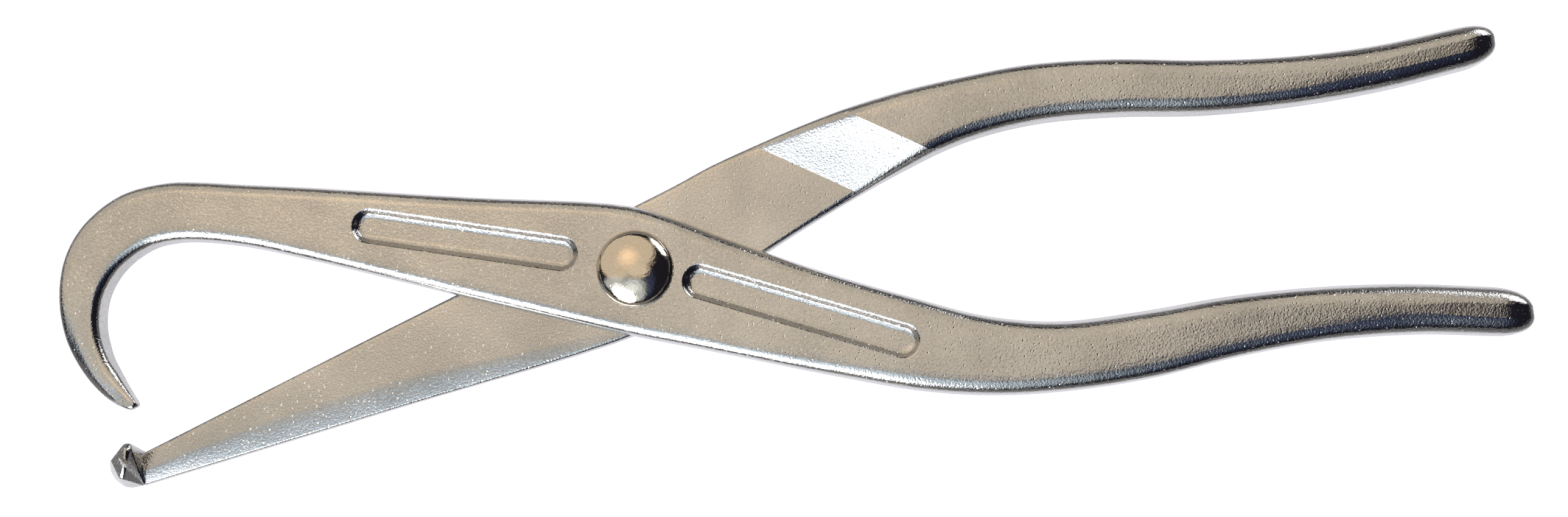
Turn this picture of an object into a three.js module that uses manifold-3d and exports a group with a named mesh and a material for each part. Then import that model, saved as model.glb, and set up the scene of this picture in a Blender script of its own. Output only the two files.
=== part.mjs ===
// Drum brake spring pliers: two forged levers that cross at a domed rivet.
//
// Millimetres, +Z up. The tool lies on its back. The origin is on the rivet's axis, in the
// plane that the tool lies on. +X runs between the two grips, -X between the two jaws.
// Each lever is half as thick as the tool where the two cross, so they lap at mid-thickness.
import * as THREE from 'three';
import { ConvexGeometry } from 'three/addons/geometries/ConvexGeometry.js';
import { LoftGeometry } from 'three/addons/geometries/LoftGeometry.js';
import { mergeVertices } from 'three/addons/utils/BufferGeometryUtils.js';
import Module from 'manifold-3d';

const wasm = await Module();
wasm.setup();

// Overall sizes.
const GRIP_REACH = 195;        // rivet axis to the end of the hook lever's grip
const CLAW_GRIP_REACH = 194.5; // rivet axis to the end of the claw lever's grip
const JAW_REACH = 99;          // rivet axis to the centre of the hook's curl
const CLAW_REACH = 113;        // rivet axis to the end of the claw's arm
const THICKNESS = 12;          // full thickness of a grip
const RUNNING_GAP = 0.3;       // between parts that turn on or lie against each other

// Forging.
const DRAFT = THREE.MathUtils.degToRad(7);   // flanks lean in away from mid-thickness
const GRIP_EDGE = 3.2;         // rounding along the grips
const PLATE_EDGE = 1.3;        // rounding along the lapped plates and the hook
const CLAW_EDGE = 0.6;         // rounding along the claw's arm
const GRIP_END = 8;            // length of the rounded end of a grip
const GRIP_END_TURNS = [25, 45, 62, 76, 86];   // its rings, in degrees round the end
const GRIP_END_WIDTH = 0.7;    // power of its outline from above: 1 is an ellipse
const GRIP_END_RISE = 0.6;     // power of its outline from the side

// Rivet: a 3/8 in shank with a domed head.
const SHANK_DIAMETER = 9.53;
const HEAD_DIAMETER = 16.67;
const HEAD_HEIGHT = 4.6;
const HEAD_RIM = 0.6;          // height of the upright rim under the dome
const HEAD_CHAMFER = 0.3;      // under the rim
const TAIL_DIAMETER = 13;      // the peened tail, flush in its countersink
const TAIL_DEPTH = 2;

// Ramp where a lever steps up from its lapped plate to the full grip.
const RAMP_DISTANCE = 35.9;    // rivet axis to the foot of the ramp
const RAMP_RUN = 14.6;
const RAMP_ANGLE = THREE.MathUtils.degToRad(30.8);   // of its foot to the tool's length

// Shallow pockets on the face of the hook lever, on either side of the rivet.
const POCKET_DEPTH = 1.5;
const POCKET_WALL = 1.8;       // width of the sloping wall
const POCKET_RADIUS = 3.85;    // of the rounded ends, at the lip
const POCKET_OFF = 1.3;        // centres off the lever's middle, towards its upper edge
const JAW_POCKET = [-56.6, -15.8];   // x of its ends' centres
const GRIP_POCKET = [13.8, 56.2];

// Claw head: a blunt tooth on the end of the claw's arm that rises to the hook's plane.
// A row is a corner: out from the arm's end, off its middle, and up from the tool's back.
const CLAW_HEAD = [
  [0.6, 3.4, 0], [-2.4, 2.6, 0], [-4.2, 0.8, 0], [-4.2, -1.4, 0], [-2.3, -3.6, 0],
  [0.6, -3.0, 0], [-2.6, 3.2, 0.8], [-4.8, 1.3, 0.8], [-4.8, -1.7, 0.8], [-2.6, -4.3, 0.8],
  [0.6, 3.7, 6], [-2.2, 3.8, 6], [-3.8, 3.7, 6], [-5.5, 2.0, 6], [-0.6, -3.9, 6],
  [0.6, -3.2, 5.8], [-4.9, 1.6, 8.4], [-5.6, -1.8, 9.8], [-2.9, 2.8, 8.6],
  [-2.3, 1.2, 12.4], [0.5, -3.6, 12.6], [0.4, -4.8, 12.1], [-0.9, -5.9, 11.8],
  [-2.9, -4.4, 11.4], [-0.6, -5.4, 9.5],
];
const CLAW_NOTCH = [-2.6, -2.6];   // the notch across the tooth's edge, from the same point
const NOTCH_DEPTH = 1.8;
const NOTCH_TURN = THREE.MathUtils.degToRad(128);
const NOTCH_RUN = 20;          // length of the notch's cutter, longer than the tooth is wide

const LAP = THICKNESS / 2;
const LAP_FACE = LAP + RUNNING_GAP / 2;
const REACH = 2 * (GRIP_REACH + JAW_REACH);   // longer than any cut has to be
const MERGE = 1e-5;            // vertices closer than this are one
const ROUND = 48;              // facets round a turned solid
const QUARTER = Math.PI / 2;
const CORNER_STEPS = 3;        // facets of a rounded edge
const DOME_STEPS = 10;
const EDGE_LIMIT = 0.8;        // largest share of a half width or height that rounding takes
const LEAN_LIMIT = 0.6;        // largest share of what is left that the draft takes

const STEEL = { color: 0xc9bfae, roughness: 0.22, metalness: 1 };
const RIVET_STEEL = { color: 0xd2cdc4, roughness: 0.1, metalness: 1 };

// Outlines of a lever at mid-thickness, seen with its grip bending towards -Y. A row is a
// share of the reach, then the edge on the +Y side and the edge on the -Y side.
const HOOK_ARM_LINE = [
  [-0.95, 29.8, 16.3],
  [-0.85, 28.2, 14.1],
  [-0.72, 26.2, 9.9],
  [-0.36, 20.1, -2.8],
  [0, 14.2, -15.2],
];
const HOOK_GRIP_LINE = [
  [0.05, 10.2, -18.2],
  [0.102, 5.0, -21.4],
  [0.204, -4.4, -27.7],
  [0.306, -12.6, -33.4],
  [0.388, -18.5, -36.1],
  [0.469, -21.4, -36.9],
  [0.561, -21.2, -36.2],
  [0.663, -20.0, -33.6],
  [0.765, -20.1, -32.2],
  [0.867, -21.6, -32.9],
  [0.959, -24.2, -35.2],
];
const CLAW_ARM_LINE = [
  [-1, 35.4, 28.2],
  [-0.5, 24.7, 6.8],
  [0, 13.8, -14.2],
];
const CLAW_GRIP_LINE = [
  [0.05, 9.5, -17.9],
  [0.102, 4.0, -22.0],
  [0.204, -6.1, -28.2],
  [0.306, -14.8, -32.7],
  [0.388, -20.2, -34.8],
  [0.469, -22.5, -36.0],
  [0.561, -22.2, -35.2],
  [0.663, -20.4, -32.8],
  [0.765, -20.2, -31.5],
  [0.867, -21.5, -31.9],
  [0.959, -24.0, -33.8],
];

// The hook's curl about its centre: angle from +X in degrees, inner and outer radius.
const CURL_CENTRE = 3;         // the curl's centre, off the tool's midline
const CURL = [
  [241.2, 23.4, 24.0],
  [239, 22.8, 25.2],
  [233, 21.7, 26.0],
  [224, 20.5, 26.5],
  [208, 19.4, 26.8],
  [190, 18.4, 27.2],
  [170, 17.3, 27.7],
  [152, 16.2, 28.5],
  [135, 15.2, 28.7],
  [114, 14.4, 28.3],
  [93, 13.8, 27.4],
];

/** A manifold solid from a closed three.js geometry. */
function solid(geometry) {
  const bare = new THREE.BufferGeometry().copy(geometry);
  bare.deleteAttribute('normal');
  bare.deleteAttribute('uv');
  const merged = mergeVertices(bare, MERGE);
  return new wasm.Manifold(new wasm.Mesh({
    numProp: 3,
    vertProperties: new Float32Array(merged.attributes.position.array),
    triVerts: new Uint32Array(merged.index.array),
  }));
}

/** A named mesh from a manifold solid. */
function mesh(name, body, finish) {
  const result = body.getMesh();
  const geometry = new THREE.BufferGeometry();
  geometry.setAttribute('position', new THREE.BufferAttribute(result.vertProperties, 3));
  geometry.setIndex(new THREE.BufferAttribute(result.triVerts, 1));
  geometry.computeVertexNormals();
  const made = new THREE.Mesh(geometry, new THREE.MeshStandardMaterial(finish));
  made.name = name;
  return made;
}

/** One ring of a forged bar between two edge points, rounded by edge, z from low to high. */
function ring(upper, lower, edge, low, high) {
  const middle = upper.clone().add(lower).multiplyScalar(0.5);
  const across = upper.clone().sub(lower);
  const half = across.length() / 2;
  across.normalize();
  const centreZ = (low + high) / 2;
  const rise = (high - low) / 2;
  const radius = Math.min(edge, EDGE_LIMIT * half, EDGE_LIMIT * rise);
  const lean = Math.min((rise - radius) * Math.tan(DRAFT), LEAN_LIMIT * (half - radius));
  const inset = half - radius - lean;
  const points = [];
  const put = (u, z) => points.push(
    new THREE.Vector3(middle.x + u * across.x, middle.y + u * across.y, z));
  const corner = (side, top, turn) => {
    const angle = turn * QUARTER / CORNER_STEPS;
    const u = inset + radius * Math.cos(angle);
    put(side * u, centreZ + top * (rise - radius + radius * Math.sin(angle)));
  };
  put(half, centreZ);
  for (const turn of [0, 1, 2, 3]) corner(1, 1, turn);
  for (const turn of [3, 2, 1, 0]) corner(-1, 1, turn);
  put(-half, centreZ);
  for (const turn of [0, 1, 2, 3]) corner(-1, -1, turn);
  for (const turn of [3, 2, 1, 0]) corner(1, -1, turn);
  return points;
}

/** Edge points of an outline whose rows are a share of the reach and two edges. */
function edges(rows, reach) {
  return rows.map(([share, upper, lower]) => ({
    upper: new THREE.Vector3(share * reach, upper, 0),
    lower: new THREE.Vector3(share * reach, lower, 0),
  }));
}

/** Edge points of the hook's curl, from its tip to where the arm takes over. */
function curlEdges() {
  return CURL.map(([degrees, inner, outer]) => {
    const angle = THREE.MathUtils.degToRad(degrees);
    const at = (radius) => new THREE.Vector3(
      -JAW_REACH + radius * Math.cos(angle), CURL_CENTRE + radius * Math.sin(angle), 0);
    return { upper: at(outer), lower: at(inner) };
  });
}

/** Smooth edge points through the given ones, with so many steps to each span. */
function smooth(points, steps) {
  const upper = new THREE.CatmullRomCurve3(points.map((p) => p.upper), false, 'centripetal');
  const lower = new THREE.CatmullRomCurve3(points.map((p) => p.lower), false, 'centripetal');
  const count = (points.length - 1) * steps;
  return Array.from({ length: count + 1 }, (_, i) => ({
    upper: upper.getPoint(i / count),
    lower: lower.getPoint(i / count),
  }));
}

/** Blank of a lever at full thickness, through its jaw's edge points and its grip's. */
function blank(jaw, grip, jawEdge) {
  const line = smooth([...jaw, ...grip], 3);
  const rings = line.map((p) => {
    const blend = THREE.MathUtils.smoothstep(p.upper.x, 0.1 * GRIP_REACH, 0.35 * GRIP_REACH);
    const edge = THREE.MathUtils.lerp(jawEdge, GRIP_EDGE, blend);
    return ring(p.upper, p.lower, edge, 0, THICKNESS);
  });
  return loft([...rings, ...gripEnd(grip)]);
}

/** Rings that round off the end of a grip. */
function gripEnd(grip) {
  const middle = (p) => p.upper.clone().add(p.lower).multiplyScalar(0.5);
  const [before, last] = grip.slice(-2);
  const along = middle(last).sub(middle(before)).normalize();
  const half = last.upper.clone().sub(last.lower).multiplyScalar(0.5);
  return GRIP_END_TURNS.map((degrees) => {
    const angle = THREE.MathUtils.degToRad(degrees);
    const centre = middle(last).addScaledVector(along, GRIP_END * Math.sin(angle));
    const width = half.clone().multiplyScalar(Math.cos(angle) ** GRIP_END_WIDTH);
    const rise = LAP * Math.cos(angle) ** GRIP_END_RISE;
    return ring(centre.clone().add(width), centre.clone().sub(width), GRIP_EDGE,
      LAP - rise, LAP + rise);
  });
}

/** Solid through rings that run from the jaw to the grip. */
function loft(rings) {
  return solid(new LoftGeometry(rings, { capStart: true, capEnd: true }));
}

/** Everything below the lapped plate, up to the ramp that leads into the grip. */
function relief() {
  const profile = new THREE.Shape([
    new THREE.Vector2(-REACH, -LAP_FACE),
    new THREE.Vector2(2 * RAMP_RUN, -LAP_FACE),
    new THREE.Vector2(0, LAP_FACE),
    new THREE.Vector2(-REACH, LAP_FACE),
  ]);
  const geometry = new THREE.ExtrudeGeometry(profile, { depth: 2 * REACH, bevelEnabled: false });
  geometry.translate(0, 0, -REACH);
  const outward = new THREE.Vector3(Math.sin(RAMP_ANGLE), -Math.cos(RAMP_ANGLE), 0);
  const up = new THREE.Vector3(0, 0, 1);
  geometry.applyMatrix4(new THREE.Matrix4().makeBasis(
    outward, up, outward.clone().cross(up)));
  geometry.translate(RAMP_DISTANCE * outward.x, RAMP_DISTANCE * outward.y, 0);
  return solid(geometry);
}

/** A turned solid on the rivet's axis, from (radius, z) pairs that start and end on it. */
function turned(profile) {
  return solid(new THREE.LatheGeometry(
    profile.map(([radius, z]) => new THREE.Vector2(radius, z)), ROUND).rotateX(QUARTER));
}

/** Bore for the rivet's shank. */
function bore() {
  const radius = SHANK_DIAMETER / 2 + RUNNING_GAP;
  return turned([[0, -THICKNESS], [radius, -THICKNESS], [radius, 2 * THICKNESS],
    [0, 2 * THICKNESS]]);
}

/** A tapered slot between two points, cut into the face from above. */
function pocket(from, to) {
  const along = to.clone().sub(from).normalize();
  const across = new THREE.Vector3(-along.y, along.x, 0);
  const rim = (radius, z) => {
    const points = [];
    for (const [centre, turn] of [[from, QUARTER], [to, -QUARTER]]) {
      for (let step = 0; step <= 2 * CORNER_STEPS; step += 1) {
        const angle = turn + step * QUARTER / CORNER_STEPS;
        points.push(centre.clone()
          .addScaledVector(along, radius * Math.cos(angle))
          .addScaledVector(across, radius * Math.sin(angle))
          .setZ(z));
      }
    }
    return points;
  };
  const slope = POCKET_WALL / POCKET_DEPTH;
  return solid(new LoftGeometry([
    rim(POCKET_RADIUS - POCKET_WALL, THICKNESS - POCKET_DEPTH),
    rim(POCKET_RADIUS + POCKET_DEPTH * slope, THICKNESS + POCKET_DEPTH),
  ], { capStart: true, capEnd: true }));
}

/** Middle of the outline where its rows reach x, moved off towards +Y. */
function middleAt(line, x, off) {
  const after = Math.max(1, line.findIndex((p) => p.upper.x > x));
  const [a, b] = [line[after - 1], line[after]];
  const share = (x - a.upper.x) / (b.upper.x - a.upper.x);
  return a.upper.clone().add(a.lower).lerp(b.upper.clone().add(b.lower), share)
    .multiplyScalar(0.5).add(new THREE.Vector3(0, off, 0));
}

/** Claw head at the arm's end, seen with the tool's back uppermost. */
function clawHead(end) {
  const middle = end.upper.clone().add(end.lower).multiplyScalar(0.5);
  const corners = CLAW_HEAD.map(([out, off, height]) =>
    new THREE.Vector3(middle.x + out, middle.y + off, THICKNESS - height));
  const profile = new THREE.Shape([
    new THREE.Vector2(-NOTCH_DEPTH, -NOTCH_DEPTH),
    new THREE.Vector2(NOTCH_DEPTH, -NOTCH_DEPTH),
    new THREE.Vector2(0, NOTCH_DEPTH),
  ]);
  const groove = new THREE.ExtrudeGeometry(profile,
    { depth: NOTCH_RUN, bevelEnabled: false });
  const top = THICKNESS - Math.max(...CLAW_HEAD.map((corner) => corner[2]));
  groove.translate(0, 0, -NOTCH_RUN / 2).rotateX(QUARTER).rotateZ(NOTCH_TURN);
  groove.translate(middle.x + CLAW_NOTCH[0], middle.y + CLAW_NOTCH[1], top);
  return solid(new ConvexGeometry(corners)).subtract(solid(groove));
}

/** Lever with the hook: its plate is the upper half of the tool. */
function hookLever() {
  const arm = edges(HOOK_ARM_LINE, JAW_REACH);
  const grip = edges(HOOK_GRIP_LINE, GRIP_REACH);
  const body = blank([...curlEdges(), ...arm], grip, PLATE_EDGE)
    .subtract(relief())
    .subtract(bore())
    .subtract(pocket(middleAt(arm, JAW_POCKET[0], POCKET_OFF),
      middleAt(arm, JAW_POCKET[1], POCKET_OFF)))
    .subtract(pocket(middleAt(grip, GRIP_POCKET[0], POCKET_OFF),
      middleAt(grip, GRIP_POCKET[1], 0)));
  return mesh('hook_lever', body, STEEL);
}

/** Lever with the claw, made back uppermost and turned over onto the lower half. */
function clawLever() {
  const arm = edges(CLAW_ARM_LINE, CLAW_REACH);
  const body = blank(arm, edges(CLAW_GRIP_LINE, CLAW_GRIP_REACH), CLAW_EDGE)
    .subtract(relief())
    .add(clawHead(arm[0]))
    .subtract(bore())
    .subtract(countersink());
  const made = mesh('claw_lever', body, STEEL);
  made.rotation.x = Math.PI;
  made.position.z = THICKNESS;
  return made;
}

/** Countersink for the rivet's peened tail, in the claw lever's back. */
function countersink() {
  const shank = SHANK_DIAMETER / 2 + RUNNING_GAP;
  const mouth = TAIL_DIAMETER / 2 + RUNNING_GAP;
  return turned([[0, THICKNESS - TAIL_DEPTH - RUNNING_GAP],
    [shank, THICKNESS - TAIL_DEPTH - RUNNING_GAP],
    [mouth, THICKNESS], [mouth, 2 * THICKNESS], [0, 2 * THICKNESS]]);
}

/** Rivet: peened tail, shank and domed head. */
function pivotRivet() {
  const seat = THICKNESS + RUNNING_GAP;
  const head = HEAD_DIAMETER / 2;
  const profile = [[0, 0], [TAIL_DIAMETER / 2, 0], [SHANK_DIAMETER / 2, TAIL_DEPTH],
    [SHANK_DIAMETER / 2, seat], [head - HEAD_CHAMFER, seat], [head, seat + HEAD_CHAMFER]];
  for (let step = 0; step <= DOME_STEPS; step += 1) {
    const angle = QUARTER * step / DOME_STEPS;
    profile.push([head * Math.cos(angle),
      seat + HEAD_RIM + (HEAD_HEIGHT - HEAD_RIM) * Math.sin(angle)]);
  }
  return mesh('pivot_rivet', turned(profile), RIVET_STEEL);
}

const pliers = new THREE.Group();
pliers.add(hookLever(), clawLever(), pivotRivet());

export default pliers;
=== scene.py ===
"""Drum brake spring pliers: two forged and plated levers that turn on a domed rivet.

The tool lies on its back on a pale table. Its sizes are in millimetres and its meshes are built
in metres. The finishes, the table and the camera's place are in metres. +X runs between the
grips, -X between the jaws, and the origin is on the rivet's axis in the plane of the tool's back.
"""
import logging
import math
from dataclasses import dataclass
from enum import Enum
from typing import Callable, Sequence

import bmesh
import bpy
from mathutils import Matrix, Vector


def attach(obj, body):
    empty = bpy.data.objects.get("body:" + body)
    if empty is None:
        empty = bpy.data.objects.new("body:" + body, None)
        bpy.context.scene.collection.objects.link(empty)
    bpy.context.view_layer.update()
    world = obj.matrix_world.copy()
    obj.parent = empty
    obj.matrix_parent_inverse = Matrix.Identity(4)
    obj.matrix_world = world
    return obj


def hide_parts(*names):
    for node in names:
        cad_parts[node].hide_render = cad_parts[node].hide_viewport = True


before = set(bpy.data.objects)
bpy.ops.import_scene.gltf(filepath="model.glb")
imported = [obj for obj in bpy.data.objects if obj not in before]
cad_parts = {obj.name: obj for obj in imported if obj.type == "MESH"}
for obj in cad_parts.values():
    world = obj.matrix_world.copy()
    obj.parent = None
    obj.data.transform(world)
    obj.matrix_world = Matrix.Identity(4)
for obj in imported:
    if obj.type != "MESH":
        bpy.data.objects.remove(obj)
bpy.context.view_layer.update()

LOG = logging.getLogger("pliers")

MM = 0.001
THICKNESS = 12.0
LAP = THICKNESS / 2
LAP_FACE = LAP + 0.15
DRAFT = math.radians(7)
SHANK_RADIUS = 9.53 / 2
AXIS_CLEAR = 0.3
SKIN = 0.02
PLATE_REACH = 16.0
BORE_POINTS = 64
POCKET_POINTS = 48
HALVINGS = 40
LEVEL_CLOSE = 1e-4 * MM
WELD = 1e-3 * MM
SMOOTH_BELOW = math.radians(17)

Row = tuple[float, float, float]
Colour = tuple[float, float, float]
Point = tuple[float, float]
Socket = bpy.types.NodeSocket
Value = float | Colour


class Side(Enum):
    """Which half of the tool a lever's lapped plate takes."""

    UPPER = "upper"
    LOWER = "lower"


def deselect() -> None:
    """Leave object mode with nothing selected."""
    if bpy.context.object and bpy.context.object.mode != "OBJECT":
        bpy.ops.object.mode_set(mode="OBJECT")
    bpy.ops.object.select_all(action="DESELECT")


def activate(piece: bpy.types.Object) -> None:
    """Make one piece the only selected and active object.

    Args:
        piece: The piece.
    """
    deselect()
    piece.select_set(True)
    bpy.context.view_layer.objects.active = piece


def pick(piece: bpy.types.Object, wanted: Callable, kind: str = "FACE") -> int:
    """Select the parts of a mesh in edit mode that a test accepts.

    Args:
        piece: The object, which is in edit mode.
        wanted: Test of one bmesh face, edge or vertex.
        kind: FACE, EDGE or VERT.

    Returns:
        How many were selected.
    """
    bpy.ops.mesh.select_mode(type=kind)
    bpy.ops.mesh.select_all(action="DESELECT")
    work = bmesh.from_edit_mesh(piece.data)
    parts = {"FACE": work.faces, "EDGE": work.edges, "VERT": work.verts}[kind]
    chosen = [part for part in parts if wanted(part)]
    for part in chosen:
        part.select_set(True)
    work.select_flush_mode()
    bmesh.update_edit_mesh(piece.data)
    return len(chosen)


def apply_modifier(piece: bpy.types.Object, kind: str, **settings: object) -> None:
    """Add a modifier with these settings and apply it.

    Args:
        piece: The object that it works on.
        kind: Blender's name of the modifier type.
        settings: Values of its fields.
    """
    activate(piece)
    modifier = piece.modifiers.new(kind.lower(), kind)
    for name, value in settings.items():
        setattr(modifier, name, value)
    bpy.ops.object.modifier_apply(modifier=modifier.name)


def catmull(points: Sequence[Point], at: float) -> Point:
    """A point on the centripetal Catmull-Rom curve through points.

    Args:
        points: The points that the curve passes through.
        at: Place on the curve, counted in points.

    Returns:
        The point there.
    """
    last = len(points) - 1
    index = min(int(at), last - 1)
    share = at - index
    p1, p2 = Vector(points[index]), Vector(points[index + 1])
    p0 = Vector(points[index - 1]) if index > 0 else p1 * 2 - p2
    p3 = Vector(points[index + 2]) if index + 2 <= last else p2 * 2 - p1
    d0, d1, d2 = ((b - a).length ** 0.5 for a, b in ((p0, p1), (p1, p2), (p2, p3)))
    t1 = ((p1 - p0) / d0 - (p2 - p0) / (d0 + d1) + (p2 - p1) / d1) * d1
    t2 = ((p2 - p1) / d1 - (p3 - p1) / (d1 + d2) + (p3 - p2) / d2) * d1
    a = p1 * 2 - p2 * 2 + t1 + t2
    b = p2 * 3 - p1 * 3 - t1 * 2 - t2
    place = p1 + (t1 + (b + a * share) * share) * share
    return place.x, place.y


def mixed(first: float, second: float, share: float) -> float:
    """A value a share of the way from the first to the second."""
    return first + (second - first) * share


def smoothstep(value: float, low: float, high: float) -> float:
    """0 below low, 1 above high and an S-curve between them."""
    share = min(1.0, max(0.0, (value - low) / (high - low)))
    return share * share * (3 - 2 * share)


def midway(first: Point, second: Point) -> Vector:
    """The middle between two points."""
    return (Vector(first) + Vector(second)) / 2


@dataclass(frozen=True)
class Corner:
    """One rounded long edge of a forged bar: its fillet and the face's gentle roll beside it."""

    radius: float
    roll_width: float = 0.0
    roll_drop: float = 0.0

    def blend(self, other: "Corner", share: float) -> "Corner":
        """Turn this corner into another.

        Args:
            other: The other corner.
            share: How far, from 0 to 1.

        Returns:
            The corner between them.
        """
        return Corner(mixed(self.radius, other.radius, share),
                      mixed(self.roll_width, other.roll_width, share),
                      mixed(self.roll_drop, other.roll_drop, share))

    def profile(self, half: float, rise: float, stretch: float) -> list[Point]:
        """Section from the flat of the face out to the flank.

        Args:
            half: Half of the bar's width at its parting line.
            rise: Height of the face above the parting line.
            stretch: How much longer than square the section is cut on the bias.

        Returns:
            Points as (off the middle, above the parting line).
        """
        room = 0.94 * (half / stretch - rise * math.tan(DRAFT))
        radius = min(self.radius, max(room, 0.3 * half / stretch), 0.85 * rise)
        drop = min(self.roll_drop, 0.26 * rise, 0.35 * half)
        width = min(self.roll_width, 0.95 * max(half / stretch - radius, 0.1))
        slope = math.atan2(1.5 * drop, width) if drop > 0 else 0.0
        centre_z = rise - drop - radius * math.cos(slope)
        centre_u = half - stretch * (max(centre_z, 0.0) * math.tan(DRAFT)
                                     + radius / math.cos(DRAFT))
        start = centre_u + stretch * radius * math.sin(slope)
        width = min(width * stretch, 0.95 * max(start, 0.0))
        points = []
        for share in (0.0, 0.2, 0.5, 0.8):
            points.append((start - width * (1 - share), rise - drop * share ** 1.5))
        for step in range(8):
            angle = math.pi / 2 - slope - (math.pi / 2 - slope - DRAFT) * step / 7
            points.append((centre_u + stretch * radius * math.cos(angle),
                           centre_z + radius * math.sin(angle)))
        return points


Corners = tuple[Corner, Corner, Corner, Corner]


@dataclass(frozen=True)
class Station:
    """One cross-section of a bar, between its two edge points at the parting line."""

    upper: Point
    lower: Point
    low: float
    high: float
    corners: Corners
    parting: float = LAP
    stretch: float = 1.0
    lean: float = 0.0

    def ring(self) -> list[Vector]:
        """Lay the section out in space.

        Returns:
            Its points in order, from the middle of its upper flank and over its face.
        """
        parting = self.parting
        middle = midway(self.upper, self.lower)
        across = Vector(self.upper) - Vector(self.lower)
        half = across.length / 2 - SKIN
        across.normalize()
        up, down = self.high - parting, parting - self.low
        shape = [corner.profile(half, rise, self.stretch)
                 for corner, rise in zip(self.corners, (up, up, down, down))]
        face = shape[0][::-1] + [(-u, z) for u, z in shape[1]]
        section = [(half, 0.0)] + [(u, z - self.lean * (u + half) / (2 * half))
                                   for u, z in face]
        section += [(-half, 0.0)] + [(-u, -z) for u, z in shape[2][::-1]]
        section += [(u, -z) for u, z in shape[3]]
        return [Vector((middle.x + u * across.x, middle.y + u * across.y, parting + z)) * MM
                for u, z in section]


@dataclass(frozen=True)
class Slot:
    """A shallow pocket with round ends in the face of a lever, from one centre to another."""

    start: Point
    end: Point
    lip: float = 4.0
    wall: float = 2.3
    depth: float = 1.5
    loops: int = 12

    def profile(self) -> list[Point]:
        """Draw the wall, which falls in an S and runs out on the floor.

        Returns:
            Its loops as (radius, height).
        """
        points = []
        for step in range(self.loops + 1):
            share = step / self.loops
            fall = 0.76 * smoothstep(share, 0.0, 0.6) + 0.24 * smoothstep(share, 0.3, 1.0)
            points.append((self.lip - self.wall * share, THICKNESS - self.depth * fall))
        return points


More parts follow.
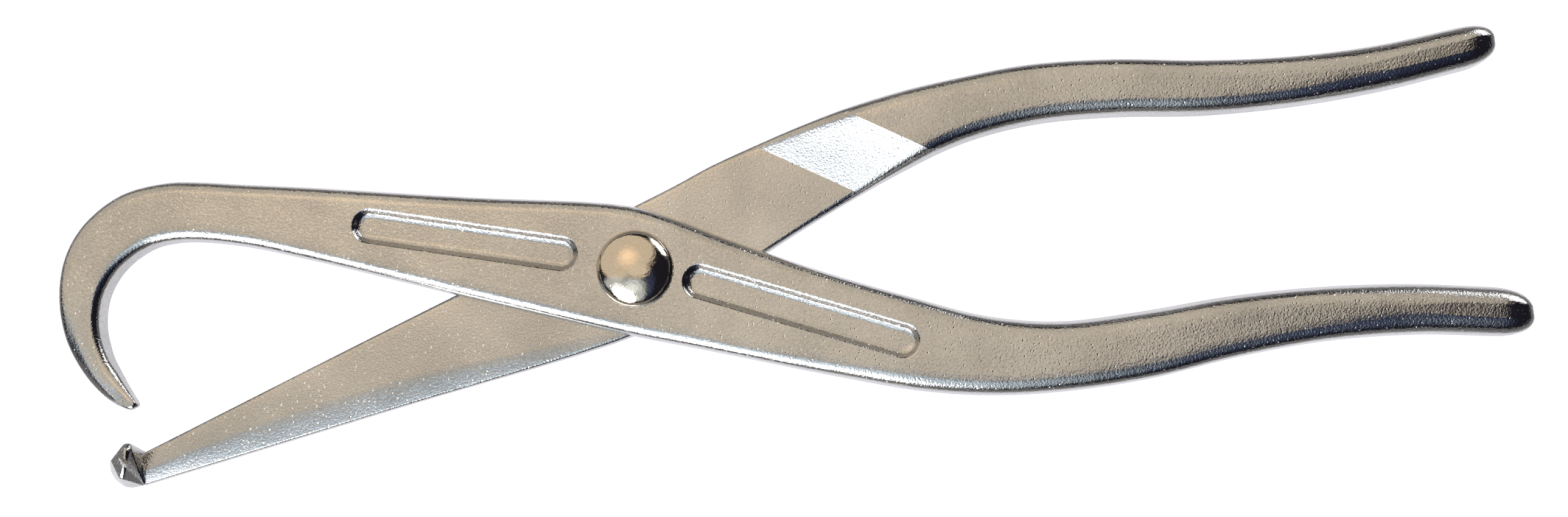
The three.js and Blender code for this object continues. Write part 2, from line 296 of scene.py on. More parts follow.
@dataclass
class Lever:
    """A forged lever from its jaw to the rounded end of its grip.

    Rows of arm and grip are a share of the reach, then the edge on the +Y side and the edge on
    the -Y side, seen with the grip bending towards -Y.
    """

    name: str
    side: Side
    jaw_reach: float
    grip_reach: float
    arm: Sequence[Row]
    grip: Sequence[Row]
    plate: Corners
    grip_corner: Corner = Corner(3.2, 1.6, 0.1)
    tip_corner: Corner = Corner(4.4, 1.8, 0.25)
    end_length: float = 8.0
    end_angles: Sequence[int] = (9, 18, 27, 36, 45, 53, 61, 68, 74, 79, 83, 86)
    ramp_foot: float = 35.9
    ramp_run: float = 14.6
    ramp_angle: float = math.radians(30.8)
    curl: Sequence[Row] = ()
    curl_centre: Point = (0.0, 0.0)
    bore_radius: float = SHANK_RADIUS + AXIS_CLEAR
    steps: int = 6
    ramp_steps: int = 4
    rows_past_ramp: int = 6
    plate_ridge: float = 0.9

    def edge_points(self) -> tuple[list[Point], list[Point]]:
        """Place the rows along the curl, the arm and the grip.

        Returns:
            Points of the +Y edge and of the -Y edge, from the jaw to the grip's end.
        """
        upper, lower = [], []
        for degrees, inner, outer in self.curl:
            angle = math.radians(degrees)
            for edge, radius in ((upper, outer), (lower, inner)):
                edge.append((self.curl_centre[0] + radius * math.cos(angle),
                             self.curl_centre[1] + radius * math.sin(angle)))
        for rows, reach in ((self.arm, self.jaw_reach), (self.grip, self.grip_reach)):
            for share, high, low in rows:
                upper.append((share * reach, high))
                lower.append((share * reach, low))
        return upper, lower

    def cross(self, points: Sequence[Point], distance: float) -> float:
        """Find where an edge meets a line across the ramp.

        Args:
            points: Points of the edge.
            distance: How far the line lies from the rivet, along the ramp's rise.

        Returns:
            The place on the edge, counted in points.
        """
        out = (math.sin(self.ramp_angle), -math.cos(self.ramp_angle))
        low, high = self.pivot_row, float(len(points) - 1)
        for _ in range(HALVINGS):
            middle = (low + high) / 2
            x, y = catmull(points, middle)
            if x * out[0] + y * out[1] < distance:
                low = middle
            else:
                high = middle
        return low

    @property
    def pivot_row(self) -> float:
        """Number of the row that lies across the rivet."""
        return float(len(self.curl) + len(self.arm) - 1)

    def stations(self) -> list[Station]:
        """Cut the lever into sections, tilted to lie along the ramp where it steps up.

        Returns:
            Every cross-section, from the jaw to the grip's end.
        """
        upper, lower = self.edge_points()
        pivot = self.pivot_row
        foot = [self.cross(edge, self.ramp_foot) for edge in (upper, lower)]
        head = [self.cross(edge, self.ramp_foot + self.ramp_run) for edge in (upper, lower)]
        last = float(len(upper) - 1)
        beyond = pivot + self.rows_past_ramp
        keys = [(0.0, 0.0), (pivot, pivot), (foot[0], foot[1]), (head[0], head[1]),
                (beyond, beyond), (last, last)]
        counts = [round(pivot * self.steps), 3 * self.steps, self.ramp_steps, 4 * self.steps,
                  round((last - beyond) * self.steps)]
        made: list[Station] = []
        for index, count in enumerate(counts):
            (u0, l0), (u1, l1) = keys[index], keys[index + 1]
            for step in range(count + (index == len(counts) - 1)):
                share = step / count
                on_ramp = {0: 0.0, 1: 0.0, 2: share}.get(index, 1.0)
                made.append(self.station(upper, lower, u0 + (u1 - u0) * share,
                                         l0 + (l1 - l0) * share, on_ramp))
        return made + self.grip_end(made[-1])

    def station(self, upper: Sequence[Point], lower: Sequence[Point], at_upper: float,
                at_lower: float, on_ramp: float) -> Station:
        """Cut one cross-section.

        Args:
            upper: Points of the +Y edge.
            lower: Points of the -Y edge.
            at_upper: Place on the +Y edge.
            at_lower: Place on the -Y edge.
            on_ramp: 0 on the lapped plate, 1 on the full grip.

        Returns:
            The station, with its corners for that place.
        """
        top, bottom = Vector(catmull(upper, at_upper)), Vector(catmull(lower, at_lower))
        along = (Vector(catmull(upper, min(at_upper + 0.05, len(upper) - 1.0)))
                 - Vector(catmull(upper, max(at_upper - 0.05, 0.0))))
        across = top - bottom
        sine = abs(across.x * along.y - across.y * along.x) / (
            across.length * along.length + 1e-9)
        x = (top.x + bottom.x) / 2
        gripped = smoothstep(x, 0.12 * self.grip_reach, 0.36 * self.grip_reach)
        ended = smoothstep(x, 0.72 * self.grip_reach, 0.93 * self.grip_reach)
        grip = self.grip_corner.blend(self.tip_corner, ended)
        low, parting, high = self.heights(at_upper, on_ramp)
        corners = tuple(corner.blend(grip, gripped)
                        for corner in self.plate_corners(at_upper))
        return Station(tuple(top), tuple(bottom), low, high, corners, parting,
                       1 / max(sine, 0.5), self.lean_at(at_upper))

    def heights(self, place: float, on_ramp: float) -> Row:
        """Bottom, parting line and top at a place counted in rows from the jaw."""
        parting = LAP + (LAP_FACE - LAP + self.plate_ridge) * (1 - on_ramp)
        return LAP_FACE * (1 - on_ramp), parting, THICKNESS

    def plate_corners(self, place: float) -> Corners:
        """The plate's corners at a place counted in rows from the jaw."""
        return self.plate

    def lean_at(self, place: float) -> float:
        """How much lower the face is at its +Y edge, at a place counted in rows."""
        return 0.0

    def grip_end(self, last: Station) -> list[Station]:
        """Round off the end of the grip.

        Args:
            last: The last straight cross-section.

        Returns:
            The cross-sections that follow it.
        """
        upper, lower = self.edge_points()
        along = (midway(upper[-1], lower[-1]) - midway(upper[-2], lower[-2])).normalized()
        half = (Vector(last.upper) - Vector(last.lower)) / 2
        centre = midway(last.upper, last.lower)
        made = []
        for degrees in self.end_angles:
            angle = math.radians(degrees)
            place = centre + along * (self.end_length * math.sin(angle))
            width = half * math.cos(angle) ** 0.7
            rise = LAP * math.cos(angle) ** 0.6
            made.append(Station(tuple(place + width), tuple(place - width), LAP - rise,
                                LAP + rise, last.corners))
        return made

    def forge(self) -> bpy.types.Object:
        """Draw a ring out station by station and close it at its ends.

        Returns:
            The bar, in edit mode.
        """
        rings = [station.ring() for station in self.stations()]
        deselect()
        bpy.ops.mesh.primitive_circle_add(vertices=len(rings[0]), radius=5 * MM)
        piece = bpy.context.active_object
        piece.name = self.name + "_forged"
        bpy.ops.object.mode_set(mode="EDIT")
        work = bmesh.from_edit_mesh(piece.data)
        order = list(work.verts)
        for vert, place in zip(order, rings[0]):
            vert.co = place
        bmesh.update_edit_mesh(piece.data)
        for ring in rings[1:]:
            places = {tuple(vert.co): index for index, vert in enumerate(order)}
            bpy.ops.mesh.extrude_region_move()
            work = bmesh.from_edit_mesh(piece.data)
            drawn = [vert for vert in work.verts if vert.select]
            drawn.sort(key=lambda vert: places[tuple(vert.co)])
            for vert, place in zip(drawn, ring):
                vert.co = place
            order = drawn
        bmesh.update_edit_mesh(piece.data)
        bpy.ops.mesh.edge_face_add()
        pick(piece, lambda edge: edge.is_boundary, "EDGE")
        bpy.ops.mesh.edge_face_add()
        bpy.ops.mesh.select_all(action="SELECT")
        bpy.ops.mesh.normals_make_consistent(inside=False)
        return piece

    def open_face(self, piece: bpy.types.Object, height: float, reach: float) -> None:
        """Take out a face's flat quads near the rivet, so that it can be filled round openings.

        Args:
            piece: The forged bar, in edit mode.
            height: Height of the face.
            reach: How far from the rivet the quads are taken out.
        """
        level, smallest = height * MM, 0.5 * MM * MM
        pick(piece, lambda face: all(abs(v.co.z - level) < LEVEL_CLOSE for v in face.verts)
             and abs(face.calc_center_median().x) < reach * MM and len(face.verts) == 4
             and face.calc_area() > smallest)
        bpy.ops.mesh.delete(type="FACE")

    def sink(self, piece: bpy.types.Object, profile: Sequence[Point],
             start: Point, end: Point, count: int) -> None:
        """Draw a wall down from the face, loop by loop.

        Args:
            piece: The forged bar, in edit mode.
            profile: Loops as (radius, height).
            start: Centre of the first round end.
            end: Centre of the second.
            count: Points round each loop.
        """
        bpy.ops.mesh.select_mode(type="EDGE")
        bpy.ops.mesh.select_all(action="DESELECT")
        bpy.ops.mesh.primitive_circle_add(vertices=count, radius=MM)
        work = bmesh.from_edit_mesh(piece.data)
        order = [vert for vert in work.verts if vert.select]
        order.sort(key=lambda vert: math.atan2(vert.co.y, vert.co.x))
        run = Vector(end) - Vector(start)
        heading = math.atan2(run.y, run.x) if run.length else 0.0
        for number, (radius, height) in enumerate(profile):
            if number:
                places = {tuple(vert.co): index for index, vert in enumerate(order)}
                bpy.ops.mesh.extrude_region_move()
                work = bmesh.from_edit_mesh(piece.data)
                order = sorted((v for v in work.verts if v.select),
                               key=lambda vert: places[tuple(vert.co)])
            for index, vert in enumerate(order):
                angle = 2 * math.pi * (index + 0.5) / count
                centre = end if math.cos(angle) > 0 else start
                vert.co = (Vector((centre[0] + radius * math.cos(angle + heading),
                                   centre[1] + radius * math.sin(angle + heading), height)) * MM)
        bmesh.update_edit_mesh(piece.data)

    def close_face(self, piece: bpy.types.Object, height: float) -> None:
        """Fill a face flat between its open edge and the rims of the openings in it.

        Args:
            piece: The forged bar, in edit mode.
            height: Height of the face.
        """
        level = height * MM
        pick(piece, lambda edge: edge.is_boundary
             and all(abs(v.co.z - level) < LEVEL_CLOSE for v in edge.verts), "EDGE")
        bpy.ops.mesh.fill(use_beauty=True)

    def middle_at(self, x: float, off: float = 0.0) -> Point:
        """Find the middle of the bar.

        Args:
            x: How far along the tool.
            off: How far to move off the middle, towards +Y.

        Returns:
            The point.
        """
        upper, lower = self.edge_points()
        low, high = self.pivot_row, len(upper) - 1.0
        if x < 0:
            low, high = float(len(self.curl)), self.pivot_row
        for _ in range(HALVINGS):
            middle = (low + high) / 2
            low, high = (middle, high) if catmull(upper, middle)[0] < x else (low, middle)
        return x, (catmull(upper, low)[1] + catmull(lower, low)[1]) / 2 + off

    def pocket(self, piece: bpy.types.Object, slot: Slot) -> None:
        """Sink one pocket and close its floor."""
        self.sink(piece, slot.profile(), slot.start, slot.end, POCKET_POINTS)
        bpy.ops.mesh.edge_face_add()

    def bore(self, piece: bpy.types.Object, profile: Sequence[Point]) -> None:
        """Sink the rivet's hole, with its loops as (radius, height)."""
        self.sink(piece, profile, (0.0, 0.0), (0.0, 0.0), BORE_POINTS)


@dataclass
class HookLever(Lever):
    """The lever with the curved hook, whose plate is the tool's upper half."""

    worn: Corner = Corner(1.6, 4.5, 1.0)
    tip: Corner = Corner(3.0, 1.0, 0.1)
    nose_rows: float = 2.0
    nose_start: float = 0.12
    tip_lift: float = 2.3
    lean: float = 1.1
    jaw_pocket: Point = (-56.6, -15.8)
    grip_pocket: Point = (13.8, 56.2)
    pocket_off: float = 1.3
    pocket_reach: float = 66.0

    def heights(self, place: float, on_ramp: float) -> Row:
        """Lift the hook's back towards its tip and round its nose.

        Args:
            place: Where, counted in rows from the tip.
            on_ramp: 0 on the lapped plate, 1 on the full grip.

        Returns:
            Bottom, parting line and top.
        """
        low, parting, high = super().heights(place, on_ramp)
        lifted = self.tip_lift * (1 - smoothstep(place, 1.5, 4.8))
        low, parting = low + lifted, parting + lifted
        if place < self.nose_rows:
            centre = (low + high) / 2
            share = place / self.nose_rows
            full = mixed(self.nose_start, 1.0, math.sqrt(1 - (1 - share) ** 2))
            low, high = mixed(centre, low, full), mixed(centre, high, full)
            parting = mixed(centre, parting, smoothstep(share, 0.4, 1.0))
        return low, parting, high

    def plate_corners(self, place: float) -> Corners:
        """Roll the outside of the hook over below its bend.

        Args:
            place: Where, counted in rows from the tip.

        Returns:
            The plate's corners there.
        """
        amount = smoothstep(place, 0.8, 2.6) * (1 - smoothstep(place, 4.2, 6.2))
        near = 1 - smoothstep(place, 2.0, 4.5)
        outer, inner, back_inner, back_outer = (corner.blend(self.tip, near)
                                                for corner in self.plate)
        return outer.blend(self.worn, amount), inner, back_inner, back_outer

    def lean_at(self, place: float) -> float:
        """The face of the hook leans outwards below its bend."""
        return self.lean * smoothstep(place, 0.6, 2.6) * (1 - smoothstep(place, 4.0, 6.4))

    def pockets(self) -> list[Slot]:
        """Place the two pockets off the lever's middle, but for the end next to the grip.

        Returns:
            The jaw's pocket and the grip's.
        """
        jaw_start, jaw_end = (self.middle_at(x, self.pocket_off) for x in self.jaw_pocket)
        grip_start, grip_end = self.grip_pocket
        return [Slot(jaw_start, jaw_end),
                Slot(self.middle_at(grip_start, self.pocket_off), self.middle_at(grip_end))]

    def build(self) -> bpy.types.Object:
        """Forge the lever, open its face and bore it.

        Returns:
            The finished lever.
        """
        piece = self.forge()
        self.open_face(piece, THICKNESS, self.pocket_reach)
        self.open_face(piece, LAP_FACE, PLATE_REACH)
        self.bore(piece, [(self.bore_radius, THICKNESS), (self.bore_radius, LAP_FACE)])
        for slot in self.pockets():
            self.pocket(piece, slot)
        self.close_face(piece, THICKNESS)
        self.close_face(piece, LAP_FACE)
        return finish_forging(piece, self.name + "_body")


@dataclass
class ClawLever(Lever):
    """The lever with the blunt claw, made back uppermost and turned over."""

    head: Sequence[Row] = ()
    notch: Point = (-2.3, -3.1)
    notch_depth: float = 1.5
    notch_turn: float = math.radians(128)
    plate_ridge: float = 2.6
    worn: Corner = Corner(0.6, 5.6, 0.9)
    sink_radius: float = 6.8
    sink_depth: float = 2.3
    tooth_edge: float = 0.42

    def plate_corners(self, place: float) -> Corners:
        """Roll the arm's outer edge over towards the claw.

        Args:
            place: Where, counted in rows from the jaw.

        Returns:
            The plate's corners there.
        """
        face_inner, face_outer, inner, outer = self.plate
        amount = 1 - smoothstep(place, 0.9, 1.95)
        return face_inner, face_outer, inner, outer.blend(self.worn, amount)

    def build(self) -> bpy.types.Object:
        """Forge and bore the lever, join its tooth to it and turn it over.

        Returns:
            The finished lever.
        """
        piece = self.forge()
        self.open_face(piece, THICKNESS, PLATE_REACH)
        self.open_face(piece, LAP_FACE, PLATE_REACH)
        self.bore(piece, [(self.sink_radius, THICKNESS),
                          (self.bore_radius, THICKNESS - self.sink_depth),
                          (self.bore_radius, LAP_FACE)])
        self.close_face(piece, THICKNESS)
        self.close_face(piece, LAP_FACE)
        bpy.ops.mesh.select_all(action="SELECT")
        bpy.ops.mesh.normals_make_consistent(inside=False)
        bpy.ops.object.mode_set(mode="OBJECT")
        tooth = self.tooth()
        apply_modifier(piece, "BOOLEAN", operation="UNION", solver="EXACT", object=tooth)
        bpy.data.objects.remove(tooth)
        activate(piece)
        bpy.ops.object.mode_set(mode="EDIT")
        bpy.ops.mesh.select_all(action="SELECT")
        if self.side is Side.LOWER:
            bpy.ops.transform.rotate(value=math.pi, orient_axis="X",
                                     center_override=(0, 0, LAP * MM))
        return finish_forging(piece, self.name + "_body")

    def tooth(self) -> bpy.types.Object:
        """Make the claw's head, which stands up from the arm's end, with its notch.

        Returns:
            The tooth, to be joined to the bar.
        """
        upper, lower = self.edge_points()
        middle = midway(upper[0], lower[0])
        deselect()
        bpy.ops.mesh.primitive_circle_add(vertices=len(self.head), radius=MM)
        tooth = bpy.context.active_object
        bpy.ops.object.mode_set(mode="EDIT")
        work = bmesh.from_edit_mesh(tooth.data)
        for vert, (out, off, height) in zip(work.verts, self.head):
            vert.co = Vector((middle.x + out, middle.y + off, THICKNESS - height)) * MM
        bmesh.update_edit_mesh(tooth.data)
        bpy.ops.mesh.convex_hull()
        bpy.ops.mesh.select_all(action="SELECT")
        bpy.ops.mesh.dissolve_limited(angle_limit=math.radians(4))
        bpy.ops.mesh.select_all(action="SELECT")
        bpy.ops.mesh.normals_make_consistent(inside=False)
        bpy.ops.object.mode_set(mode="OBJECT")
        apply_modifier(tooth, "BEVEL", width=self.tooth_edge * MM, segments=4, limit_method="ANGLE",
                       angle_limit=math.radians(18), use_clamp_overlap=True)
        deselect()
        reach = self.notch_depth * MM
        top = THICKNESS - max(height for _, _, height in self.head)
        place = Vector((middle.x + self.notch[0], middle.y + self.notch[1], top)) * MM
        bpy.ops.mesh.primitive_cylinder_add(vertices=3, radius=reach, depth=20 * MM,
                                            location=place)
        wedge = bpy.context.active_object
        wedge.rotation_euler = (math.pi / 2, 0, self.notch_turn)
        bpy.ops.object.transform_apply(location=True, rotation=True, scale=True)
        apply_modifier(tooth, "BOOLEAN", operation="DIFFERENCE", solver="EXACT", object=wedge)
        bpy.data.objects.remove(wedge)
        return tooth


def finish_forging(piece: bpy.types.Object, name: str) -> bpy.types.Object:
    """Merge, smooth and name a forged piece.

    Args:
        piece: The object.
        name: Its name.

    Returns:
        The same object, with flats that shade flat and rounded edges that shade smooth.
    """
    activate(piece)
    bpy.ops.object.mode_set(mode="EDIT")
    bpy.ops.mesh.select_mode(type="VERT")
    bpy.ops.mesh.select_all(action="SELECT")
    bpy.ops.mesh.remove_doubles(threshold=WELD)
    bpy.ops.mesh.select_all(action="SELECT")
    bpy.ops.mesh.normals_make_consistent(inside=False)
    bpy.ops.object.mode_set(mode="OBJECT")
    bpy.ops.object.shade_smooth_by_angle(angle=SMOOTH_BELOW)
    apply_modifier(piece, "WEIGHTED_NORMAL", mode="FACE_AREA", weight=60, keep_sharp=True)
    piece.name = name
    piece.data.name = name
    return piece


@dataclass
class Rivet:
    """The rivet on which the levers turn: domed head, shank and peened tail."""

    shank: float = SHANK_RADIUS
    head: float = 16.67 / 2
    seat: float = THICKNESS + AXIS_CLEAR
    height: float = 4.6
    rim: float = 0.6
    tail: float = 6.15
    tail_depth: float = 2.0
    dome_steps: int = 24
    turn_steps: int = 96

    def profile(self) -> list[Point]:
        """Draw the rivet's outline.

        Returns:
            Points as (radius, height) from the tail's middle to the dome's top.
        """
        points = [(0.0, 0.12), (2.4, 0.1), (4.6, 0.04), (5.6, 0.0), (5.9, 0.04), (6.1, 0.22),
                  (self.tail, 0.5), (self.shank, self.tail_depth), (self.shank, self.seat),
                  (self.head - 0.55, self.seat), (self.head - 0.25, self.seat + 0.06)]
        rim = self.seat + self.rim
        for step in range(self.dome_steps + 1):
            angle = math.pi / 2 * step / self.dome_steps
            points.append((self.head * math.cos(angle),
                           rim + (self.seat + self.height - rim) * math.sin(angle)))
        return points

    def build(self) -> bpy.types.Object:
        """Spin the outline about its axis.

        Returns:
            The rivet.
        """
        deselect()
        bpy.ops.mesh.primitive_plane_add(size=MM)
        piece = bpy.context.active_object
        bpy.ops.object.mode_set(mode="EDIT")
        bpy.ops.mesh.merge(type="CENTER")
        outline = self.profile()
        work = bmesh.from_edit_mesh(piece.data)
        work.verts.ensure_lookup_table()
        work.verts[0].co = (outline[0][0] * MM, 0, outline[0][1] * MM)
        bmesh.update_edit_mesh(piece.data)
        bpy.ops.mesh.select_mode(type="VERT")
        bpy.ops.mesh.select_all(action="SELECT")
        for (r0, z0), (r1, z1) in zip(outline, outline[1:]):
            bpy.ops.mesh.extrude_region_move(
                TRANSFORM_OT_translate={"value": ((r1 - r0) * MM, 0, (z1 - z0) * MM)})
        bpy.ops.mesh.select_all(action="SELECT")
        bpy.ops.mesh.spin(steps=self.turn_steps, angle=2 * math.pi, center=(0, 0, 0),
                          axis=(0, 0, 1))
        return finish_forging(piece, "rivet_body")


@dataclass(frozen=True)
class Graph:
    """The nodes of one material or world, added by what they work out."""

    tree: bpy.types.NodeTree

    def add(self, kind: str, **settings: object) -> bpy.types.Node:
        """Add a node.

        Args:
            kind: Blender's name of the node type, without its ShaderNode.
            settings: Values of its fields.

        Returns:
            The node.
        """
        node = self.tree.nodes.new("ShaderNode" + kind)
        for name, value in settings.items():
            setattr(node, name, value)
        return node

    def feed(self, socket: Socket, value: Socket | Value) -> None:
        """Link an input to a socket, or set it to a value.

        Args:
            socket: The input.
            value: A socket or a value.
        """
        if isinstance(value, bpy.types.NodeSocket):
            self.tree.links.new(value, socket)
        else:
            socket.default_value = value

    def operate(self, node: bpy.types.Node, values: Sequence[Socket | Value]) -> Socket:
        """Feed a node's inputs in order.

        Args:
            node: The node.
            values: A socket or a value for each input.

        Returns:
            The node's first output.
        """
        for socket, value in zip(node.inputs, values):
            self.feed(socket, value)
        return node.outputs[0]

    def number(self, how: str, *values: Socket | float) -> Socket:
        """Output of an operation on numbers."""
        return self.operate(self.add("Math", operation=how), values)

    def vector(self, how: str, *values: Socket | Colour) -> Socket:
        """Output of an operation on vectors."""
        return self.operate(self.add("VectorMath", operation=how), values)

    def remap(self, value: Socket, taken: Point, given: Point, how: str = "LINEAR") -> Socket:
        """Take a number from one range to another.

        Args:
            value: The number.
            taken: The two ends of the range that it comes from.
            given: The two ends of the range that it goes to.
            how: LINEAR or SMOOTHSTEP.

        Returns:
            The new number.
        """
        node = self.add("MapRange", interpolation_type=how)
        self.feed(node.inputs["Value"], value)
        for name, number in zip(("From Min", "From Max", "To Min", "To Max"),
                                (*taken, *given)):
            node.inputs[name].default_value = number
        return node.outputs[0]

    def noise(self, place: Socket, scale: float, detail: float) -> Socket:
        """Add a noise.

        Args:
            place: Where it is looked up.
            scale: Features to the metre.
            detail: How many finer layers it has.

        Returns:
            Its height.
        """
        node = self.add("TexNoise")
        for name, value in (("Vector", place), ("Scale", scale), ("Detail", detail)):
            self.feed(node.inputs[name], value)
        return node.outputs["Fac"]

    def tint(self, share: Socket, first: Socket | Colour, second: Socket | Colour) -> Socket:
        """Mix two colours.

        Args:
            share: 0 for the first and 1 for the second.
            first: A socket or a colour.
            second: A socket or a colour.

        Returns:
            The mixed colour.
        """
        node = self.add("Mix", data_type="RGBA")
        self.feed(node.inputs["Factor"], share)
        for name, colour in (("A", first), ("B", second)):
            self.feed(node.inputs[name], (*colour, 1) if isinstance(colour, tuple) else colour)
        return node.outputs["Result"]


@dataclass(frozen=True)
class Softbox:
    """A soft patch of light in the room, placed by where it shows on a polished dome.

    The place is the slope of the dome there, so (0, 0) is overhead and 1 away is the horizon.
    A merged patch does not add to the light behind it where that is brighter.
    """

    centre: Point
    radii: Point
    soft: float
    colour: Colour
    strength: float
    merged: bool = False

    def light(self, graph: Graph, slope: Sequence[Socket]) -> Socket:
        """The patch's light, fading over its soft edge.

        Args:
            graph: The room's nodes.
            slope: The dome's slope along X and along Y.

        Returns:
            The colour that it adds.
        """
        squares = []
        for axis in (0, 1):
            off = graph.number("SUBTRACT", slope[axis], self.centre[axis])
            scaled = graph.number("DIVIDE", off, self.radii[axis])
            squares.append(graph.number("MULTIPLY", scaled, scaled))
        away = graph.number("SQRT", graph.number("ADD", *squares))
        fade = graph.remap(away, (1 + self.soft, 1 - self.soft), (0.0, 1.0), "SMOOTHSTEP")
        patch = graph.add("VectorMath", operation="SCALE")
        patch.inputs[0].default_value = tuple(part * self.strength for part in self.colour)
        graph.feed(patch.inputs["Scale"], fade)
        return patch.outputs[0]


@dataclass
class Setting:
    """The pale table, the camera above it and the light of the room."""

    table_size: float = 3.0
    table_drop: float = 0.0004
    table_colour: Colour = (0.25, 0.25, 0.26)
    table_glow: Colour = (0.94, 0.94, 1.0)
    camera_place: Row = (0.030247, -0.021793, 0.369)
    camera_turn: Row = (3.3, 0.0, -6.25)
    lens: float = 37.73292
    sensor: float = 36.0
    room: Colour = (0.014, 0.014, 0.021)
    boxes: Sequence[Softbox] = (
        Softbox((-0.28, 0.39), (0.64, 0.49), 0.10, (0.70, 0.62, 0.495), 1.0),
        Softbox((0.02, -0.01), (0.155, 0.11), 0.3, (0.78, 0.69, 0.56), 1.0, True),
        Softbox((-0.10, 0.20), (0.11, 0.11), 0.95, (1.0, 0.66, 0.36), 0.6),
        Softbox((-0.03, -0.45), (0.15, 0.34), 0.5, (0.60, 0.69, 0.74), 1.0, True),
        Softbox((-0.38, -0.26), (0.38, 0.18), 0.35, (0.62, 0.70, 0.77), 0.9),
        Softbox((0.16, -0.35), (0.12, 0.30), 0.6, (0.03, 0.045, 0.10), 1.0, True),
        Softbox((-0.33, -0.60), (0.26, 0.37), 0.16, (1.0, 1.0, 1.0), 3.0),
        Softbox((0.76, 0.62), (0.35, 0.33), 0.22, (1.0, 1.0, 1.0), 2.6),
    )

    def build(self) -> None:
        """Set the table, the camera and the light."""
        self.lay_table()
        self.place_camera()
        self.light_room()

    def lay_table(self) -> None:
        """A plain pale table top, just under the tool."""
        deselect()
        bpy.ops.mesh.primitive_plane_add(size=self.table_size,
                                         location=(0, 0, -self.table_drop))
        table = bpy.context.active_object
        table.name = "table_top"
        bpy.ops.object.transform_apply(location=True, rotation=True, scale=True)
        material = bpy.data.materials.new("table_white")
        material.use_nodes = True
        shader = material.node_tree.nodes["Principled BSDF"]
        shader.inputs["Base Color"].default_value = (*self.table_colour, 1)
        shader.inputs["Roughness"].default_value = 0.9
        shader.inputs["Emission Color"].default_value = (*self.table_glow, 1)
        self.glow(Graph(material.node_tree), shader)
        table.data.materials.append(material)

    def glow(self, graph: Graph, shader: bpy.types.Node) -> None:
        """Light the table evenly for the camera, and less towards its far sides in reflections.

        Args:
            graph: The table's nodes.
            shader: Its shader.
        """
        facing = graph.add("LayerWeight")
        facing.inputs["Blend"].default_value = 0.5
        reflected = graph.remap(facing.outputs["Facing"], (0.3, 0.62), (0.8, 0.02),
                                "SMOOTHSTEP")
        strength = graph.add("Mix")
        for name, value in (("Factor", graph.add("LightPath").outputs["Is Camera Ray"]),
                            ("A", reflected), ("B", 1.0)):
            graph.feed(strength.inputs[name], value)
        graph.feed(shader.inputs["Emission Strength"], strength.outputs[0])

    def place_camera(self) -> None:
        """The camera, high above the pliers and turned a little against them."""
        data = bpy.data.cameras.new("view")
        data.lens = self.lens
        data.sensor_width = self.sensor
        camera = bpy.data.objects.new("view", data)
        bpy.context.scene.collection.objects.link(camera)
        camera.location = self.camera_place
        camera.rotation_euler = [math.radians(turn) for turn in self.camera_turn]
        bpy.context.scene.camera = camera

    def light_room(self) -> None:
        """The room's light as soft patches on a dark surround."""
        world = bpy.data.worlds.new("room")
        bpy.context.scene.world = world
        world.use_nodes = True
        world.node_tree.nodes.clear()
        graph = Graph(world.node_tree)
        split = graph.add("SeparateXYZ")
        graph.feed(split.inputs[0], graph.add("TexCoord").outputs["Generated"])
        above = graph.number("ADD", split.outputs[2], 1.0001)
        slope = [graph.number("DIVIDE", split.outputs[axis], above) for axis in (0, 1)]
        total = self.boxes[0].light(graph, slope)
        for box in self.boxes[1:]:
            how = "MAXIMUM" if box.merged else "ADD"
            total = graph.vector(how, total, box.light(graph, slope))
        background = graph.add("Background")
        graph.feed(background.inputs["Color"], graph.vector("ADD", total, self.room))
        graph.feed(graph.add("OutputWorld").inputs[0], background.outputs[0])


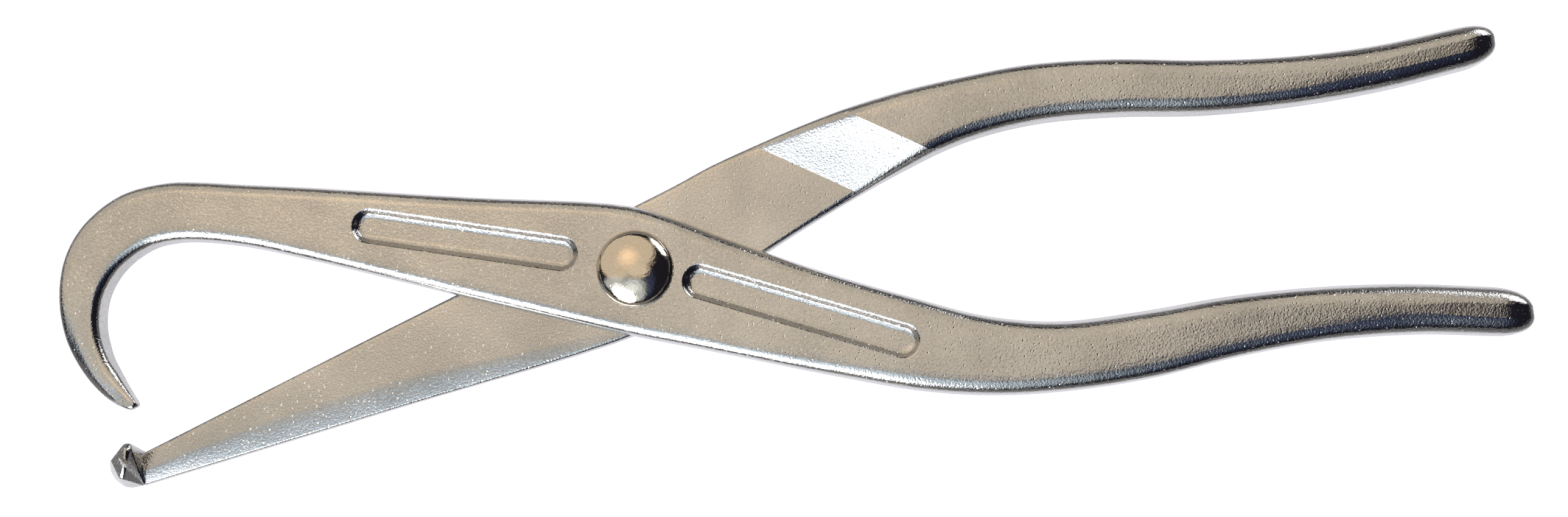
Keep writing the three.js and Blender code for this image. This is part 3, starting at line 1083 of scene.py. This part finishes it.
@dataclass(frozen=True)
class Plating:
    """Bright plating over forged steel, with the skin's grain, pits and waves under it, and a
    painted glint in its pits' bottoms: a lighter colour that stands in for caught light.
    """

    name: str
    colour: Colour
    darker: Colour
    # Painted glint: a light colour given to the pits' bottoms in place of light caught in them.
    painted_glint: Colour
    roughness: float
    grain: float
    grain_depth: float
    pits: float
    wave_depth: float = 0.0003
    pit_depth: float = 0.00009
    pit_cells: float = 950.0

    def make(self) -> bpy.types.Material:
        """Build the plating's nodes.

        Returns:
            The material.
        """
        material = bpy.data.materials.new(self.name)
        material.use_nodes = True
        graph = Graph(material.node_tree)
        shader = material.node_tree.nodes["Principled BSDF"]
        place = graph.add("TexCoord").outputs["Object"]
        grain = graph.noise(place, 1 / self.grain, 2.0)
        cloud = graph.noise(place, 60.0, 3.0)
        pits_and_glints = self.pits_and_glints(graph, place, cloud)
        rough = graph.remap(grain, (0.3, 0.7), (0.75 * self.roughness, 1.3 * self.roughness))
        reliefs = ((graph.noise(place, 110.0, 2.0), self.wave_depth, 0.35),
                   (grain, self.grain_depth, 1.0), (pits_and_glints, self.pit_depth, self.pits))
        for name, value in (("Metallic", 1.0), ("Roughness", rough),
                            ("Base Color", self.skin(graph, place, grain, cloud, pits_and_glints)),
                            ("Normal", self.relief(graph, reliefs))):
            graph.feed(shader.inputs[name], value)
        return material

    def skin(self, graph: Graph, place: Socket, grain: Socket, cloud: Socket,
             pits_and_glints: Socket) -> Socket:
        """Mottle the plating's colour and paint a glint into its pits: their bottoms take a lighter
        colour that stands in for light caught there.

        Args:
            graph: The material's nodes.
            place: Object coordinates.
            grain: The skin's fine noise.
            cloud: Its slow noise.
            pits_and_glints: Height of its pits, which also masks the painted glint.

        Returns:
            The colour.
        """
        speckle = graph.noise(place, 2.1 / self.grain, 1.0)
        fine = graph.number("MULTIPLY_ADD", speckle, 0.4, grain)
        mottle = graph.number("MULTIPLY_ADD", cloud, 0.9, fine)
        spread = graph.remap(mottle, (0.85, 1.45), (0.0, 1.0))
        # Painted glint: towards a pit's bottom the colour turns to the light glint colour, standing
        # in for caught light.
        return graph.tint(pits_and_glints, self.painted_glint, graph.tint(spread, self.darker, self.colour))

    def relief(self, graph: Graph, reliefs: Sequence[tuple[Socket, float, float]]) -> Socket:
        """Lay one relief over the other.

        Args:
            graph: The material's nodes.
            reliefs: For each one its height, its depth in metres and its strength.

        Returns:
            The surface's normal.
        """
        normal = None
        for height, depth, strength in reliefs:
            bump = graph.add("Bump")
            for name, value in (("Strength", strength), ("Distance", depth),
                                ("Height", height)):
                graph.feed(bump.inputs[name], value)
            if normal is not None:
                graph.feed(bump.inputs["Normal"], normal)
            normal = bump.outputs[0]
        return normal

    def pits_and_glints(self, graph: Graph, place: Socket, cloud: Socket) -> Socket:
        """Make small pits, in some cells only and thicker in places. The same heights also mask the
        painted glint in the skin's colour.

        Args:
            graph: The material's nodes.
            place: Object coordinates.
            cloud: A slow noise that says where the pits lie thicker.

        Returns:
            Height from 0 in a pit's bottom to 1 on the skin.
        """
        cells = graph.add("TexVoronoi")
        graph.feed(cells.inputs["Scale"], self.pit_cells)
        graph.feed(cells.inputs["Vector"], place)
        dent = graph.remap(cells.outputs["Distance"], (0.0, 0.3), (0.0, 1.0), "SMOOTHSTEP")
        split = graph.add("SeparateColor")
        graph.feed(split.inputs[0], cells.outputs["Color"])
        chance = graph.number("MULTIPLY_ADD", cloud, -0.9, split.outputs[0])
        plain = graph.remap(chance, (-0.12, 0.02), (0.0, 1.0))
        return graph.number("MAXIMUM", dent, plain)


HOOK_ARM = (
    (-0.95, 29.8, 16.3), (-0.85, 28.2, 14.1), (-0.72, 26.2, 9.9), (-0.36, 20.1, -2.8),
    (0, 14.2, -15.2),
)
HOOK_GRIP = (
    (0.05, 10.2, -18.2), (0.102, 5.0, -21.4), (0.204, -4.4, -27.7), (0.306, -12.6, -33.4),
    (0.388, -18.5, -36.1), (0.469, -21.4, -36.9), (0.561, -21.2, -36.2), (0.663, -20.0, -33.6),
    (0.765, -20.1, -32.2), (0.867, -21.6, -32.9), (0.959, -24.2, -35.2),
)
HOOK_CURL = (
    (241.2, 23.4, 24.0), (239, 22.8, 25.2), (233, 21.7, 26.0), (224, 20.5, 26.5),
    (208, 19.4, 26.8), (190, 18.4, 27.2), (170, 17.3, 27.7), (152, 16.2, 28.5),
    (135, 15.2, 28.7), (114, 14.4, 28.3), (93, 13.8, 27.4),
)
CLAW_ARM = ((-1, 35.4, 28.2), (-0.5, 24.7, 6.8), (0, 13.8, -14.2))
CLAW_GRIP = (
    (0.05, 9.5, -17.9), (0.102, 4.0, -22.0), (0.204, -6.1, -28.2), (0.306, -14.8, -32.7),
    (0.388, -20.2, -34.8), (0.469, -22.5, -36.0), (0.561, -22.2, -35.2), (0.663, -20.4, -32.8),
    (0.765, -20.2, -31.5), (0.867, -21.5, -31.9), (0.959, -24.0, -33.8),
)
CLAW_TOOTH = (
    (0.6, 3.4, 0), (-2.4, 2.8, 0), (-4.2, 0.8, 0), (-4.2, -1.4, 0), (-2.3, -3.6, 0),
    (0.2, -3.0, 0), (-2.6, 3.4, 0.8), (-4.9, 1.3, 0.8), (-5.1, -1.7, 0.8), (-2.6, -4.3, 0.8),
    (0.4, 3.5, 5.9), (-2.7, 3.8, 4.5), (-4.2, 3.4, 4.8), (-5.9, 1.7, 5.2), (-6.7, 0.0, 5.4),
    (-6.8, -1.9, 5.6), (-1.1, -4.0, 6), (-5.4, -2.9, 8.5), (0.1, -3.3, 5.8), (0.2, 1.8, 6.0),
    (-1.4, -6.0, 11.0), (-0.3, -6.4, 11.0), (0.6, -5.5, 11.0), (0.6, -4.5, 11.4),
    (-0.3, -4.8, 12.5), (-0.9, -5.1, 12.3), (-1.4, -1.2, 12.5), (-0.8, -0.8, 12.4),
    (-2.7, 1.1, 11.4), (-1.9, 1.5, 11.0), (-0.2, -5.9, 9.0),
)


# The painted_glint colours are painted highlights for the pits' bottoms, not the metal's own tone.
STEEL = Plating(name="plated_steel", colour=(0.70, 0.69, 0.68), darker=(0.48, 0.475, 0.47),
                painted_glint=(1.0, 0.99, 0.98), roughness=0.10, grain=0.00045,
                grain_depth=0.00007, pits=0.6)
BRIGHT = Plating(name="bright_rivet", colour=(0.80, 0.71, 0.60), darker=(0.70, 0.61, 0.50),
                 painted_glint=(0.88, 0.82, 0.76), roughness=0.08, grain=0.0006,
                 grain_depth=0.00003, pits=0.2)


def hook_lever() -> HookLever:
    """Size the upper lever, whose plate is on top.

    Returns:
        The lever, not yet built.
    """
    plate = (Corner(2.6, 0.5, 0.02), Corner(2.2, 1.6, 0.05), Corner(0.5, 1.0, 0.02),
             Corner(0.5, 1.0, 0.02))
    return HookLever(name="hook_lever", side=Side.UPPER, jaw_reach=99.0, grip_reach=195.0,
                     arm=HOOK_ARM, grip=HOOK_GRIP, plate=plate, curl=HOOK_CURL,
                     curl_centre=(-99.0, 3.0))


def claw_lever() -> ClawLever:
    """Size the lower lever, whose plate lies against the table.

    Returns:
        The lever, not yet built.
    """
    plate = (Corner(0.6, 1.0, 0.02), Corner(0.6, 1.0, 0.02), Corner(0.9, 1.5, 0.03),
             Corner(0.9, 2.0, 0.05))
    return ClawLever(name="claw_lever", side=Side.LOWER, jaw_reach=113.0, grip_reach=194.5,
                     arm=CLAW_ARM, grip=CLAW_GRIP, plate=plate, head=CLAW_TOOTH)


def main() -> None:
    """Build the pliers, their setting and their light, and report each piece."""
    logging.basicConfig(level=logging.INFO, format="%(name)s: %(message)s")
    bpy.context.scene.view_settings.view_transform = "Standard"
    materials = {finish: finish.make() for finish in (STEEL, BRIGHT)}
    for part, node, body, finish in (
            (hook_lever(), "hook_lever", "hook_side", STEEL),
            (claw_lever(), "claw_lever", "claw_side", STEEL),
            (Rivet(), "pivot_rivet", "hook_side", BRIGHT)):
        piece = part.build()
        piece.data.materials.clear()
        piece.data.materials.append(materials[finish])
        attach(piece, body)
        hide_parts(node)
        LOG.info("%s: %d faces", piece.name, len(piece.data.polygons))
    Setting().build()


if __name__ == "__main__":
    main()
